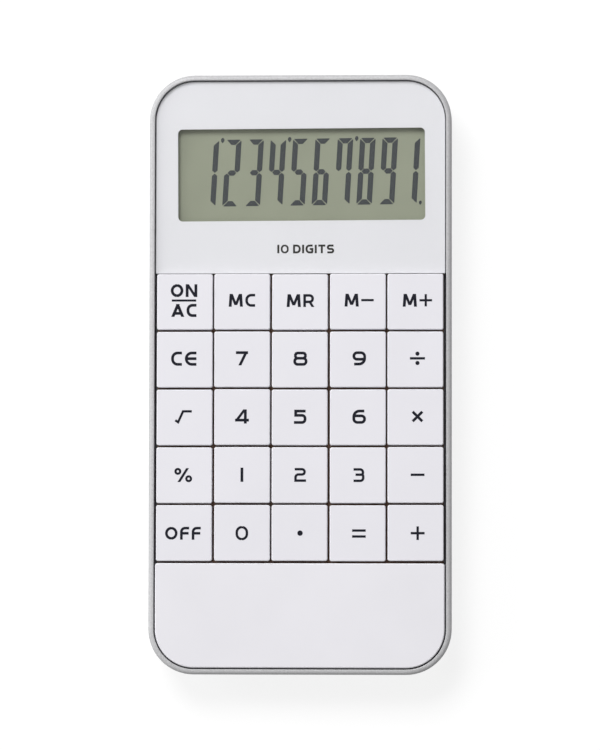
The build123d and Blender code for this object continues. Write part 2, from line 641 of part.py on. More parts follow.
def case_screws():
    sizes = (CASE_SCREW_RADIUS, CASE_SCREW_REACH, CASE_HEAD_RADIUS, CASE_HEAD_HEIGHT)
    return [screw(place, CASE_SEAT_Z, *sizes) for place in CASE_SCREWS]


def board_screws():
    reach = BOARD_THICKNESS + BOARD_SCREW_REACH
    sizes = (BOARD_SCREW_RADIUS, reach, BOARD_HEAD_RADIUS, BOARD_HEAD_HEIGHT)
    return [screw(place, BOARD_BOTTOM_Z, *sizes) for place in BOARD_SCREWS]


def foot_places():
    return [(x, y) for x in (-CASE_SCREW_X, CASE_SCREW_X) for y in (-FOOT_Y, FOOT_Y)]


def rubber_feet():
    feet = [post(place, FOOT_RADIUS, 0, REAR_FACE_Z + FOOT_SEAT) for place in foot_places()]
    return [fillet(bottom_face(foot).edges(), FOOT_EDGE) for foot in feet]


def all_pieces():
    """Every piece by name. A list is a group of alike pieces in one node."""
    pieces = {
        "rear_cover": rear_cover(),
        "bezel_ring": bezel_ring(),
        "front_chassis": front_chassis(),
        "display_lens": display_lens(),
        "display_mask": display_mask(),
        "lower_panel": lower_panel(),
        "front_polariser": front_polariser(),
        "lcd_cell": lcd_cell(),
        "rear_reflector": rear_reflector(),
        "lcd_holder": lcd_holder(),
        "zebra_strip": zebra_strip(),
        "rubber_keypad": rubber_keypad(),
        "carbon_pills": carbon_pills(),
        "circuit_board": circuit_board(),
        "chip_blob": chip_blob(),
        "capacitors": capacitors(),
        "resistors": resistors(),
        "battery_cell": battery_cell(),
        "battery_contact_minus": battery_contact_minus(),
        "battery_contact_plus": battery_contact_plus(),
        "battery_door": battery_door(),
        "case_screws": case_screws(),
        "board_screws": board_screws(),
        "rubber_feet": rubber_feet(),
    }
    one_key = key()
    for row, names in enumerate(KEY_ROWS):
        for column, name in enumerate(names):
            x, y = key_place(row, column)
            play_x, play_y = key_play(row, column)
            pieces["key_" + name] = Pos(x + play_x, y + play_y) * one_key
    return pieces


def main():
    os.makedirs("parts", exist_ok=True)
    for name, piece in all_pieces().items():
        shape = Compound(children=piece) if isinstance(piece, list) else piece
        export_step(shape, f"parts/{name}.step")
    print(f"body {BODY_WIDTH:.2f} x {BODY_LENGTH:.2f} x {KEY_TOP_Z:.2f} mm")


main()
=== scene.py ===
import json
import math

import bmesh
import bpy
from mathutils import Matrix, Vector
from mathutils.geometry import delaunay_2d_cdt


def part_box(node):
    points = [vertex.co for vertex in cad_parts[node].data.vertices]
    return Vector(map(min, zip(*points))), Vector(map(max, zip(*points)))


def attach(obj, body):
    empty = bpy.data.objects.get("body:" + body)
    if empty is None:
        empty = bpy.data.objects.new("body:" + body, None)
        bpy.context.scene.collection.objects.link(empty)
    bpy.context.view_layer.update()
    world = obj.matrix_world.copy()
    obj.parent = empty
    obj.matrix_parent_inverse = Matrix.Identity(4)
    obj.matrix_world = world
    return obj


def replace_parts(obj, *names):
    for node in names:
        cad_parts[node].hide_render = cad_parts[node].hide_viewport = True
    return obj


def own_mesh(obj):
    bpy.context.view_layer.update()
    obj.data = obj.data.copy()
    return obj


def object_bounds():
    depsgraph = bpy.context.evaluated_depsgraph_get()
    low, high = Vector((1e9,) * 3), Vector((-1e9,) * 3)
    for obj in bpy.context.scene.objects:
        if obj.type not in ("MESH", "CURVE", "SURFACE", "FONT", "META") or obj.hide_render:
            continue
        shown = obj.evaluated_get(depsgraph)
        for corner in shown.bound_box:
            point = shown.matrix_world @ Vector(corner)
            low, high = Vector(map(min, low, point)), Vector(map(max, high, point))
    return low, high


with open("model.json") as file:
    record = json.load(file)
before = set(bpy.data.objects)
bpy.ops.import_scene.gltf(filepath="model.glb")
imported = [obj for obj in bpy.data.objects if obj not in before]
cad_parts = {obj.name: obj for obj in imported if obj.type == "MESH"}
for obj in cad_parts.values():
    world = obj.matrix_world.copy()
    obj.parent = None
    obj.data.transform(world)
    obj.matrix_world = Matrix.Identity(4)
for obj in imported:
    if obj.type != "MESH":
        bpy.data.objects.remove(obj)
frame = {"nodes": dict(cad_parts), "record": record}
cad_low, cad_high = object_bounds()

MM = 0.001
BODY = "calculator_body"
keys = [node for node in frame["nodes"] if node.startswith("key_")]

# Key legends: the cap height, and the weight of the strokes, of single marks and of words
SINGLE_CAP = 2.8 * MM
SINGLE_WEIGHT = 1.0
WORD_CAP = 2.54 * MM
WORD_WEIGHT = 1.04

# Strokes of the legends, in cap heights
STROKE = 0.195
THIN_STROKE = 0.175
SIGN_STROKE = 0.17
SLANT_STROKE = STROKE * 1.12
STEEP_STROKE = 0.21
MITRE_LIMIT = 0.4
EDGE = STROKE / 2
TOP = 1 - EDGE
WAIST = 0.53
LETTER_GAP = 0.21
ARC_STEPS = 10

# Ink: its thickness, and how near two points of it are, in millimetres, when they become one
INK_THICKNESS = 0.02 * MM
INK_MERGE = 0.0001

# Places of the legends on the keys
LEGEND_SHIFT = Vector((0.12, 0.18)) * MM
LEGEND_STRETCH = Vector((0.013, 0.007))
STACK_RISE = 1.97 * MM
STACK_BAR = 4.85 * MM
STACK_BAR_WIDTH = 0.42 * MM
STACK_WEIGHT = 1.13
LARGE_WORDS = ("key_ce",)
KEY_LEGENDS = {
    "key_mc": ("M", "C"),
    "key_mr": ("M", "R"),
    "key_m_minus": ("M", "minus"),
    "key_m_plus": ("M", "plus"),
    "key_ce": ("C", "E"),
    "key_divide": ("divide",),
    "key_root": ("root",),
    "key_multiply": ("times",),
    "key_percent": ("percent",),
    "key_minus": ("minus",),
    "key_off": ("O", "F", "F"),
    "key_point": ("point",),
    "key_equals": ("equals",),
    "key_plus": ("plus",),
}
KEY_LEGENDS.update({"key_" + digit: (digit,) for digit in "0123456789"})

# Words under the display
CAPTION = ("1", "0", "space", "D", "I", "G", "I", "T", "S")
CAPTION_HEIGHT = 1.68 * MM
CAPTION_WEIGHT = 1.2
CAPTION_PLACE = Vector((1.07, 24.85)) * MM

# Display digits: seven slanted segments each
DIGITS = "1234567891"
SEGMENTS = {
    "1": "bc", "2": "abged", "3": "abgcd", "4": "fgbc", "5": "afgcd",
    "6": "afgedc", "7": "fabc", "8": "abcdefg", "9": "abcdfg",
}
DIGIT_START = Vector((-20.17, 33.64)) * MM
DIGIT_PITCH = 4.45 * MM
DIGIT_WIDTH = 3.1 * MM
DIGIT_HEIGHT = 13.32 * MM
DIGIT_SLANT = 0.0685
DIGIT_TURN = math.radians(0.65)
SEGMENT_WIDTH = 1.06 * MM
SEGMENT_GAP = 0.07 * MM
SEGMENT_CORNER = 0.1 * MM
THOUSANDS_AFTER = (0, 3, 6)
THOUSANDS_PLACE = Vector((3.77, 13.18)) * MM
THOUSANDS_SIZE = Vector((0.36, 0.52)) * MM
POINT_PLACE = Vector((3.82, 0.25)) * MM
POINT_SIZE = Vector((0.3, 0.42)) * MM
TEARDROP_TAPER = 0.45

# Surface patterns: clouds of colour and a fine grain, spread over the middle of the noise's range
CLOUD_DETAIL = 3.0
GRAIN_DETAIL = 2.0
GRAIN_STRENGTH = 0.35
PATTERN_LOW = 0.3
PATTERN_HIGH = 0.7
ROUGHNESS_SPREAD = 0.1

# The chassis colours are painted shade: a grey along the rim, darker than its plastic, for the shade in the
# seam, and between the keys a brown, painted shade with a painted warm glow of light bouncing between the
# white keys
CHASSIS_PAINTED_SHADE_GREY = (0.17, 0.172, 0.185)
DECK_PAINTED_BOUNCE_BROWN = (0.31, 0.19, 0.135)

# Lens: a clear tint, and a gloss that grows from the face to the edge
LENS_TINT = (0.996, 0.998, 0.998, 1)
LENS_ROUGHNESS = 0.07
LENS_ROUGHNESS_SPREAD = 0.3
LENS_GRAIN = 900
LENS_BLEND = 0.15
LENS_FACE_GLOSS = 0.02
LENS_EDGE_GLOSS = 0.9

# Rubber keypad: its domes, its holes for screw bosses, and its contacts
DOME_RADIUS = 2.5 * MM
DOME_TOP_RADIUS = 1.8 * MM
DOME_FOOT_RADIUS = 3.1 * MM
DOME_WALL = 0.45 * MM
DOME_RISE = 0.8 * MM
DOME_ROOF = 0.35 * MM
DOME_STEPS = 32
BOSS_HOLE_RADIUS = 2.0 * MM
PILL_RADIUS = 1.2 * MM
WELD_DISTANCE = 0.001 * MM

# World and floor: what is seen of them, and what light they give
BACKGROUND = 1.0
AMBIENT = 0.43
FLOOR_SIZE = 4.0
FLOOR_NEAR = 2.5 * MM
FLOOR_COLOUR = 0.26
FLOOR_LIFT = 0.79

# Lamps: the place, the side of the square in metres, and the power in watts
LAMPS = {
    "key_light": (Vector((-0.45, 1.08, 1.26)), 0.86, 21.8),
    "fill_light": (Vector((-1.3, 0.2, 0.45)), 0.9, 9.5),
    "under_light": (Vector((0.35, -0.45, -1.15)), 0.9, 5.0),
}

# Camera: its place, its turn in degrees, and its sensor and lens in millimetres
CAMERA_PLACE = Vector((40.6, -43.8, 900.0)) * MM
CAMERA_TURN = (2.803, 2.605, 0.102)
CAMERA_SENSOR = 36.0
CAMERA_LENS = 216.23


# Stroke shapes


def rounded(points, closed):
    """Corner points, each with a radius, as a smooth run of points."""
    run = []
    for index, (x, y, radius) in enumerate(points):
        corner = Vector((x, y))
        at_end = not closed and index in (0, len(points) - 1)
        if at_end or radius == 0:
            run.append(corner)
            continue
        to_before = (Vector(points[index - 1][:2]) - corner).normalized()
        to_after = (Vector(points[(index + 1) % len(points)][:2]) - corner).normalized()
        angle = to_before.angle(to_after)
        centre = corner + (to_before + to_after).normalized() * (radius / math.sin(angle / 2))
        start = corner + to_before * (radius / math.tan(angle / 2)) - centre
        turn = math.pi - angle
        if to_before.cross(to_after) > 0:
            turn = -turn
        for step in range(ARC_STEPS + 1):
            part = turn * step / ARC_STEPS
            spun = Vector((
                start.x * math.cos(part) - start.y * math.sin(part),
                start.x * math.sin(part) + start.y * math.cos(part),
            ))
            run.append(centre + spun)
    return run


def sides(run, closed, width):
    """The left and right edges of a stroke that follows a run of points."""
    left, right = [], []
    for index, point in enumerate(run):
        before = run[index - 1] if closed or index > 0 else None
        after = run[(index + 1) % len(run)] if closed or index < len(run) - 1 else None
        incoming = (point - before).normalized() if before is not None else (after - point).normalized()
        outgoing = (after - point).normalized() if after is not None else incoming
        mitre = (incoming + outgoing).normalized()
        normal = Vector((-mitre.y, mitre.x))
        reach = width / 2 / max(mitre.dot(outgoing), MITRE_LIMIT)
        left.append(point + normal * reach)
        right.append(point - normal * reach)
    return left, right


def line(*points, width=STROKE):
    """An open stroke through corners, each with a radius."""
    return ("along", rounded(points, False), False, width)


def loop(*points, width=STROKE):
    """A closed stroke through corners, each with a radius."""
    return ("along", rounded(points, True), True, width)


def slant(top_x, top_y, low_x, low_y, width=SLANT_STROKE):
    """A sloping stroke whose two ends are cut level."""
    return ("level", [Vector((top_x, top_y)), Vector((low_x, low_y))], False, width)


def circle(x, y, radius):
    """Points round a circle."""
    steps = 4 * ARC_STEPS
    angles = [2 * math.pi * step / steps for step in range(steps)]
    return [Vector((x + radius * math.cos(a), y + radius * math.sin(a))) for a in angles]


def dot(x, y, radius):
    """A filled circle."""
    return ("filled", circle(x, y, radius), True, 0)


def ring(x, y, radius, width=STROKE):
    """A closed stroke round a circle."""
    return ("along", circle(x, y, radius), True, width)


def frame_loop(low_x, low_y, high_x, high_y, radius, width=STROKE):
    """A closed stroke round a rectangle with equal corners."""
    corners = ((low_x, low_y), (high_x, low_y), (high_x, high_y), (low_x, high_y))
    return loop(*[(x, y, radius) for x, y in corners], width=width)


# Each glyph: its width in cap heights, and its strokes
GLYPHS = {
    "space": (0.13, []),
    "A": (0.98, [
        slant(0.52, 1, 0.1, 0), slant(0.46, 1, 0.88, 0),
        line((0.24, 0.27, 0), (0.74, 0.27, 0)),
    ]),
    "C": (0.76, [line((0.76, TOP, 0), (EDGE, TOP, 0.36), (EDGE, EDGE, 0.36), (0.76, EDGE, 0))]),
    "D": (0.86, [
        loop((EDGE, EDGE, 0), (0.86 - EDGE, EDGE, 0.36), (0.86 - EDGE, TOP, 0.36), (EDGE, TOP, 0)),
    ]),
    "E": (0.82, [
        line((0.82, TOP, 0), (EDGE, TOP, 0.4), (EDGE, EDGE, 0.4), (0.82, EDGE, 0)),
        line((2 * EDGE, 0.5, 0), (0.82, 0.5, 0)),
    ]),
    "F": (0.7, [
        line((0.7, TOP, 0), (EDGE, TOP, 0.28), (EDGE, 0, 0)),
        line((2 * EDGE, 0.5, 0), (0.66, 0.5, 0)),
    ]),
    "G": (0.88, [
        line((0.82, TOP, 0), (EDGE, TOP, 0.36), (EDGE, EDGE, 0.36), (0.88 - EDGE, EDGE, 0.08),
             (0.88 - EDGE, 0.5, 0), (0.48, 0.5, 0)),
    ]),
    "I": (STROKE, [line((EDGE, 0, 0), (EDGE, 1, 0))]),
    "M": (1.08, [
        slant(0.17, 1, 0.1, 0), slant(0.91, 1, 0.98, 0),
        slant(0.19, 1, 0.54, 0.13, STEEP_STROKE), slant(0.89, 1, 0.54, 0.13, STEEP_STROKE),
    ]),
    "N": (0.88, [
        line((EDGE, 0, 0), (EDGE, 1, 0)), line((0.88 - EDGE, 0, 0), (0.88 - EDGE, 1, 0)),
        slant(0.11, 1, 0.77, 0, STEEP_STROKE),
    ]),
    "O": (0.96, [frame_loop(EDGE, EDGE, 0.96 - EDGE, TOP, 0.4)]),
    "R": (0.86, [
        line((EDGE, 0, 0), (EDGE, TOP, 0), (0.82 - EDGE, TOP, 0.24), (0.82 - EDGE, 0.4, 0.24),
             (2 * EDGE, 0.4, 0)),
        slant(0.5, 0.4, 0.75, 0),
    ]),
    "S": (0.82, [
        line((0.76, TOP, 0), (EDGE, TOP, 0.2), (EDGE, 0.5, 0.2), (0.82 - EDGE, 0.5, 0.2),
             (0.82 - EDGE, EDGE, 0.2), (0.04, EDGE, 0)),
    ]),
    "T": (0.82, [line((0, TOP, 0), (0.82, TOP, 0)), line((0.41, 0, 0), (0.41, 1 - STROKE, 0))]),
    "0": (0.91, [frame_loop(EDGE, EDGE - 0.02, 0.91 - EDGE, TOP + 0.02, 0.36, THIN_STROKE)]),
    "1": (STROKE, [line((EDGE, 0, 0), (EDGE, 1, 0))]),
    "2": (0.84, [
        line((0.04, TOP, 0), (0.84 - EDGE, TOP, 0.2), (0.84 - EDGE, WAIST, 0.2), (EDGE, WAIST, 0.2),
             (EDGE, EDGE, 0), (0.84, EDGE, 0), width=THIN_STROKE),
    ]),
    "3": (0.78, [
        line((0, TOP, 0), (0.76 - EDGE, TOP, 0.2), (0.76 - EDGE, WAIST, 0.12), (0.14, WAIST, 0),
             width=THIN_STROKE),
        line((0.45, WAIST, 0), (0.78 - EDGE, WAIST, 0.12), (0.78 - EDGE, EDGE, 0.2), (0, EDGE, 0),
             width=THIN_STROKE),
    ]),
    "4": (0.98, [
        line((0.73, 0, 0), (0.73, 1, 0)), line((0, 0.24, 0), (0.98, 0.24, 0)),
        slant(0.69, 1, 0.12, 0.24, 0.22),
    ]),
    "5": (0.88, [
        line((0.82, TOP, 0), (EDGE + 0.02, TOP, 0), (EDGE + 0.02, 0.6, 0), (0.88 - EDGE, 0.6, 0.22),
             (0.88 - EDGE, EDGE, 0.22), (0, EDGE, 0)),
    ]),
    "6": (0.96, [
        line((0.84, TOP, 0), (EDGE, TOP, 0.4), (EDGE, EDGE, 0.26), (0.96 - EDGE, EDGE, 0.24),
             (0.96 - EDGE, 0.56, 0.22), (2 * EDGE, 0.56, 0)),
    ]),
    "7": (0.86, [line((0, TOP, 0), (0.86, TOP, 0)), slant(0.76, 1, 0.28, 0, STEEP_STROKE)]),
    "8": (1.0, [
        frame_loop(EDGE + 0.04, WAIST, 0.96 - EDGE, TOP, 0.19),
        frame_loop(EDGE, EDGE, 1 - EDGE, WAIST, 0.2),
    ]),
    "9": (0.96, [
        line((0.12, EDGE, 0), (0.96 - EDGE, EDGE, 0.4), (0.96 - EDGE, TOP, 0.26), (EDGE, TOP, 0.24),
             (EDGE, 0.44, 0.22), (0.96 - 2 * EDGE, 0.44, 0)),
    ]),
    "minus": (0.97, [line((0, 0.5, 0), (0.97, 0.5, 0), width=SIGN_STROKE)]),
    "plus": (0.98, [
        line((0, 0.5, 0), (0.98, 0.5, 0), width=SIGN_STROKE),
        line((0.49, 0.02, 0), (0.49, 0.98, 0), width=SIGN_STROKE),
    ]),
    "divide": (1.06, [
        line((0, 0.5, 0), (1.06, 0.5, 0), width=SIGN_STROKE),
        dot(0.53, 0.83, 0.145), dot(0.53, 0.17, 0.145),
    ]),
    "times": (0.8, [
        line((0.06, 0.16, 0), (0.74, 0.84, 0), width=0.19),
        line((0.06, 0.84, 0), (0.74, 0.16, 0), width=0.19),
    ]),
    "equals": (0.96, [
        line((0, 0.29, 0), (0.96, 0.29, 0), width=SIGN_STROKE),
        line((0, 0.71, 0), (0.96, 0.71, 0), width=SIGN_STROKE),
    ]),
    "point": (0.36, [dot(0.18, 0.5, 0.19)]),
    "root": (1.17, [line((0, 0.26, 0), (0.2, 0.12, 0), (0.55, 0.89, 0), (1.17, 0.89, 0), width=0.165)]),
    "percent": (1.27, [
        ring(0.25, 0.76, 0.165, width=0.16), ring(1.02, 0.24, 0.165, width=0.16),
        slant(0.94, 0.99, 0.33, 0.01, 0.2),
    ]),
}


# Mesh building


def add_piece(name, bm, body, *materials):
    """A finished mesh as an object that moves with a body."""
    mesh = bpy.data.meshes.new(name)
    bmesh.ops.recalc_face_normals(bm, faces=bm.faces)
    bm.to_mesh(mesh)
    bm.free()
    for material in materials:
        mesh.materials.append(material)
    piece = bpy.data.objects.new(name, mesh)
    bpy.context.scene.collection.objects.link(piece)
    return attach(piece, body)


def add_prism(bm, lower, upper):
    """Side walls and ends between two matching closed outlines."""
    bm.faces.new(upper)
    bm.faces.new(list(reversed(lower)))
    for index in range(len(lower)):
        after = (index + 1) % len(lower)
        bm.faces.new((lower[index], lower[after], upper[after], upper[index]))


def add_polygon(bm, points, low_z, high_z):
    """A flat outline, raised into a plate."""
    lower = [bm.verts.new((point.x, point.y, low_z)) for point in points]
    upper = [bm.verts.new((point.x, point.y, high_z)) for point in points]
    add_prism(bm, lower, upper)


def add_ink(bm, patches, low_z):
    """Flat patches that may overlap, merged into one thin layer of ink."""
    points, faces = [], []
    for patch in patches:
        faces.append(range(len(points), len(points) + len(patch)))
        points.extend(point / MM for point in patch)
    merged, _, triangles, _, _, sources = delaunay_2d_cdt(points, [], faces, 0, INK_MERGE)
    triangles = [triangle for triangle, source in zip(triangles, sources) if source]
    lower = [bm.verts.new((point.x * MM, point.y * MM, low_z)) for point in merged]
    upper = [bm.verts.new((point.x * MM, point.y * MM, low_z + INK_THICKNESS)) for point in merged]
    for triangle in triangles:
        bm.faces.new([upper[corner] for corner in triangle])
        bm.faces.new([lower[corner] for corner in reversed(triangle)])
    edges = {(triangle[side - 1], triangle[side]): None for triangle in triangles for side in range(3)}
    for start, end in edges:
        if (end, start) not in edges:
            bm.faces.new((lower[start], lower[end], upper[end], upper[start]))
    bmesh.ops.delete(bm, geom=[vert for vert in bm.verts if not vert.link_faces], context="VERTS")


def ribbon(left, right, closed):
    """The band between two edges as triangles that all turn the same way."""
    patches = []
    for index in range(0 if closed else 1, len(left)):
        for patch in (
            [left[index - 1], right[index - 1], right[index]],
            [left[index - 1], right[index], left[index]],
        ):
            turn = (patch[1] - patch[0]).cross(patch[2] - patch[0])
            patches.append(patch if turn > 0 else patch[::-1])
    return patches


def stroke_patches(stroke, weight):
    """A stroke as flat patches, its width times a weight."""
    kind, run, closed, width = stroke
    if kind == "filled":
        return [run]
    if kind == "level":
        half = Vector((width * weight / 2, 0))
        return ribbon([point + half for point in run], [point - half for point in run], closed)
    return ribbon(*sides(run, closed, width * weight), closed)


def word_width(names):
    """The width of a row of glyphs, in cap heights."""
    return sum(GLYPHS[name][0] for name in names) + LETTER_GAP * (len(names) - 1)


def word_patches(names, cap_height, centre, weight):
    """A row of glyphs centred on a place."""
    patches = []
    corner = Vector((-word_width(names), -1)) / 2
    for name in names:
        width, strokes = GLYPHS[name]
        for stroke in strokes:
            for patch in stroke_patches(stroke, weight):
                patches.append([centre + (point + corner) * cap_height for point in patch])
        corner.x += width + LETTER_GAP
    return patches


# Materials


def new_material(name):
    """An empty material, with its nodes and links."""
    made = bpy.data.materials.new(name)
    made.use_nodes = True
    made.node_tree.nodes.clear()
    return made, made.node_tree.nodes, made.node_tree.links


def noise(nodes, links, scale, detail, stretch=(1, 1, 1)):
    """A noise pattern fixed to the piece. Scale is in waves per metre."""
    place = nodes.new("ShaderNodeTexCoord")
    mapping = nodes.new("ShaderNodeMapping")
    mapping.inputs["Scale"].default_value = stretch
    texture = nodes.new("ShaderNodeTexNoise")
    texture.inputs["Scale"].default_value = scale
    texture.inputs["Detail"].default_value = detail
    links.new(place.outputs["Object"], mapping.inputs["Vector"])
    links.new(mapping.outputs["Vector"], texture.inputs["Vector"])
    return texture.outputs["Fac"]


def between(nodes, links, factor, low, high):
    """A number that follows a pattern between two values."""
    spread = nodes.new("ShaderNodeMapRange")
    spread.inputs["From Min"].default_value = PATTERN_LOW
    spread.inputs["From Max"].default_value = PATTERN_HIGH
    spread.inputs["To Min"].default_value = low
    spread.inputs["To Max"].default_value = high
    links.new(factor, spread.inputs["Value"])
    return spread.outputs["Result"]


def spread_roughness(nodes, links, factor, roughness, share):
    """A roughness that a pattern lowers and raises by a share of it."""
    return between(nodes, links, factor, roughness * (1 - share), roughness * (1 + share))


def mottled(nodes, links, factor, colour, vary):
    """A colour that gets a little darker and lighter with a pattern."""
    mix = nodes.new("ShaderNodeMix")
    mix.data_type = "RGBA"
    mix.inputs["A"].default_value = (*[part * (1 - vary) for part in colour], 1)
    mix.inputs["B"].default_value = (*[min(part * (1 + vary), 1) for part in colour], 1)
    links.new(between(nodes, links, factor, 0, 1), mix.inputs["Factor"])
    return mix.outputs["Result"]


def inside(nodes, links, low, high):
    """1 where a point of the piece lies between two corners in X and Y, and 0 elsewhere."""
    place = nodes.new("ShaderNodeTexCoord")
    split = nodes.new("ShaderNodeSeparateXYZ")
    links.new(place.outputs["Object"], split.inputs["Vector"])
    both = nodes.new("ShaderNodeMath")
    both.operation = "MULTIPLY"
    for index, axis in enumerate("XY"):
        within = nodes.new("ShaderNodeMath")
        within.operation = "COMPARE"
        within.inputs[1].default_value = (low[index] + high[index]) / 2
        within.inputs[2].default_value = (high[index] - low[index]) / 2
        links.new(split.outputs[axis], within.inputs[0])
        links.new(within.outputs["Value"], both.inputs[index])
    return both.outputs["Value"]


def surface(name, colour, roughness, vary=0.02, cloud=70, grain=5000, relief=0.004, metallic=0.0,
            stretch=(1, 1, 1), specular=0.4, field=None):
    """A moulded, printed or metal surface with faint clouds of colour and a fine grain.

    Clouds and grain are in waves per metre, and relief is the depth of the grain in millimetres.
    A field is a second colour, and the two corners that it lies between.
    """
    made, nodes, links = new_material(name)
    output = nodes.new("ShaderNodeOutputMaterial")
    shader = nodes.new("ShaderNodeBsdfPrincipled")
    shader.inputs["Metallic"].default_value = metallic
    shader.inputs["Specular IOR Level"].default_value = specular
    clouds = noise(nodes, links, cloud, CLOUD_DETAIL, stretch)
    fine = noise(nodes, links, grain, GRAIN_DETAIL, stretch)
    base = mottled(nodes, links, clouds, colour, vary)
    if field:
        field_colour, low, high = field
        mix = nodes.new("ShaderNodeMix")
        mix.data_type = "RGBA"
        links.new(inside(nodes, links, low, high), mix.inputs["Factor"])
        links.new(base, mix.inputs["A"])
        links.new(mottled(nodes, links, clouds, field_colour, vary), mix.inputs["B"])
        base = mix.outputs["Result"]
    links.new(base, shader.inputs["Base Color"])
    rough = spread_roughness(nodes, links, fine, roughness, ROUGHNESS_SPREAD)
    links.new(rough, shader.inputs["Roughness"])
    bump = nodes.new("ShaderNodeBump")
    bump.inputs["Strength"].default_value = GRAIN_STRENGTH
    bump.inputs["Distance"].default_value = relief * MM
    links.new(fine, bump.inputs["Height"])
    links.new(bump.outputs["Normal"], shader.inputs["Normal"])
    links.new(shader.outputs["BSDF"], output.inputs["Surface"])
    return made


def clear_plate(name):
    """Clear polished plastic: what is behind shows straight through, under a gloss."""
    made, nodes, links = new_material(name)
    output = nodes.new("ShaderNodeOutputMaterial")
    through = nodes.new("ShaderNodeBsdfTransparent")
    through.inputs["Color"].default_value = LENS_TINT
    gloss = nodes.new("ShaderNodeBsdfGlossy")
    fine = noise(nodes, links, LENS_GRAIN, GRAIN_DETAIL)
    rough = spread_roughness(nodes, links, fine, LENS_ROUGHNESS, LENS_ROUGHNESS_SPREAD)
    links.new(rough, gloss.inputs["Roughness"])
    edge = nodes.new("ShaderNodeLayerWeight")
    edge.inputs["Blend"].default_value = LENS_BLEND
    share = nodes.new("ShaderNodeMapRange")
    share.inputs["To Min"].default_value = LENS_FACE_GLOSS
    share.inputs["To Max"].default_value = LENS_EDGE_GLOSS
    links.new(edge.outputs["Facing"], share.inputs["Value"])
    mix = nodes.new("ShaderNodeMixShader")
    links.new(share.outputs["Result"], mix.inputs["Fac"])
    links.new(through.outputs["BSDF"], mix.inputs[1])
    links.new(gloss.outputs["BSDF"], mix.inputs[2])
    links.new(mix.outputs["Shader"], output.inputs["Surface"])
    return made


# The finish of each material slot, and of the inks
# The field of painted shade and painted warm bounce between the keys: across the outer keys' sides, and
# from the lower panel up to the lens
painted_deck_bounce = (
    DECK_PAINTED_BOUNCE_BROWN,
    (min(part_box(key)[0].x for key in keys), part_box("lower_panel")[1].y),
    (max(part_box(key)[1].x for key in keys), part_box("display_lens")[0].y),
)
FINISHES = {
    "shell_white": dict(colour=(0.80, 0.80, 0.83), roughness=0.42, grain=3500, relief=0.02),
    "rim_silver": dict(colour=(0.52, 0.52, 0.53), roughness=0.5, vary=0.09, cloud=2500, grain=7000,
                       relief=0.012, metallic=0.05, specular=0.3),
    # The chassis colour is painted shade, with the painted warm bounce between the keys
    "chassis_dark": dict(colour=CHASSIS_PAINTED_SHADE_GREY, roughness=0.6, vary=0.15, relief=0.01, specular=0.25,
                         field=painted_deck_bounce),
    "mask_white": dict(colour=(0.90, 0.895, 0.925), roughness=0.5, vary=0.01, specular=0.2),
    "panel_white": dict(colour=(0.82, 0.81, 0.85), roughness=0.46, vary=0.015, relief=0.006, specular=0.25),
    "display_film": dict(colour=(0.36, 0.382, 0.287), roughness=0.45, vary=0.035, cloud=120, relief=0.002,
                         specular=0.15),
    "display_glass": dict(colour=(0.30, 0.33, 0.27), roughness=0.1, vary=0.03),
    "strip_rubber": dict(colour=(0.45, 0.25, 0.25), roughness=0.6, vary=0.25, cloud=4000,
                         stretch=(1, 0.05, 0.05)),
    "keypad_rubber": dict(colour=(0.45, 0.46, 0.47), roughness=0.55, vary=0.04, relief=0.008),
    "carbon_rubber": dict(colour=(0.02, 0.02, 0.02), roughness=0.5, vary=0.2),
    "board_green": dict(colour=(0.03, 0.17, 0.07), roughness=0.4, vary=0.18, cloud=700, relief=0.01),
    "chip_epoxy": dict(colour=(0.015, 0.015, 0.016), roughness=0.22, vary=0.2, cloud=400),
    "component_ceramic": dict(colour=(0.42, 0.32, 0.22), roughness=0.45, vary=0.12, cloud=900),
    "cell_steel": dict(colour=(0.62, 0.62, 0.61), roughness=0.28, vary=0.05, cloud=500, relief=0.003,
                       metallic=1.0),
    "contact_brass": dict(colour=(0.62, 0.58, 0.46), roughness=0.3, vary=0.06, cloud=600, relief=0.003,
                          metallic=1.0),
    "screw_steel": dict(colour=(0.50, 0.50, 0.51), roughness=0.34, vary=0.1, cloud=1500, relief=0.01,
                        metallic=1.0),
    "foot_rubber": dict(colour=(0.32, 0.32, 0.33), roughness=0.75, vary=0.06, cloud=600, grain=2500,
                        relief=0.03),
    "key_white": dict(colour=(0.81, 0.80, 0.845), roughness=0.45, vary=0.012, relief=0.006, specular=0.25),
    "legend_ink": dict(colour=(0.008, 0.009, 0.016), roughness=0.45, vary=0.1, cloud=1500, specular=0.12),
    "caption_ink": dict(colour=(0.016, 0.014, 0.011), roughness=0.5, vary=0.1, cloud=1500, specular=0.15),
    "segment_ink": dict(colour=(0.054, 0.061, 0.066), roughness=0.45, vary=0.05, cloud=600, specular=0.15),
}
MATERIALS = {name: surface(name, **finish) for name, finish in FINISHES.items()}
MATERIALS["lens_clear"] = clear_plate("lens_clear")

for entry in frame["record"]["subparts"]:
    slots = frame["nodes"][entry["node"]].data.materials
    slots.clear()
    slots.append(MATERIALS[entry["material_slot"]])


# Legends on the keys


def key_centre(node):
    """The middle of a node's box at rest."""
    low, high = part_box(node)
    return (low + high) / 2


def legend_place(node):
    """The print is a little larger than the key grid, so it drifts out from the middle."""
    centre = key_centre(node).xy
    drift = Vector((centre.x * LEGEND_STRETCH.x, centre.y * LEGEND_STRETCH.y))
    return centre + LEGEND_SHIFT + drift


def print_legends():
    """The marks of all keys but the stacked one."""
    for node, names in KEY_LEGENDS.items():
        bm = bmesh.new()
        large = len(names) == 1 or node in LARGE_WORDS
        cap_height, weight = (SINGLE_CAP, SINGLE_WEIGHT) if large else (WORD_CAP, WORD_WEIGHT)
        add_ink(bm, word_patches(names, cap_height, legend_place(node), weight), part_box(node)[1].z)
        add_piece(node.replace("key_", "legend_"), bm, node, MATERIALS["legend_ink"])


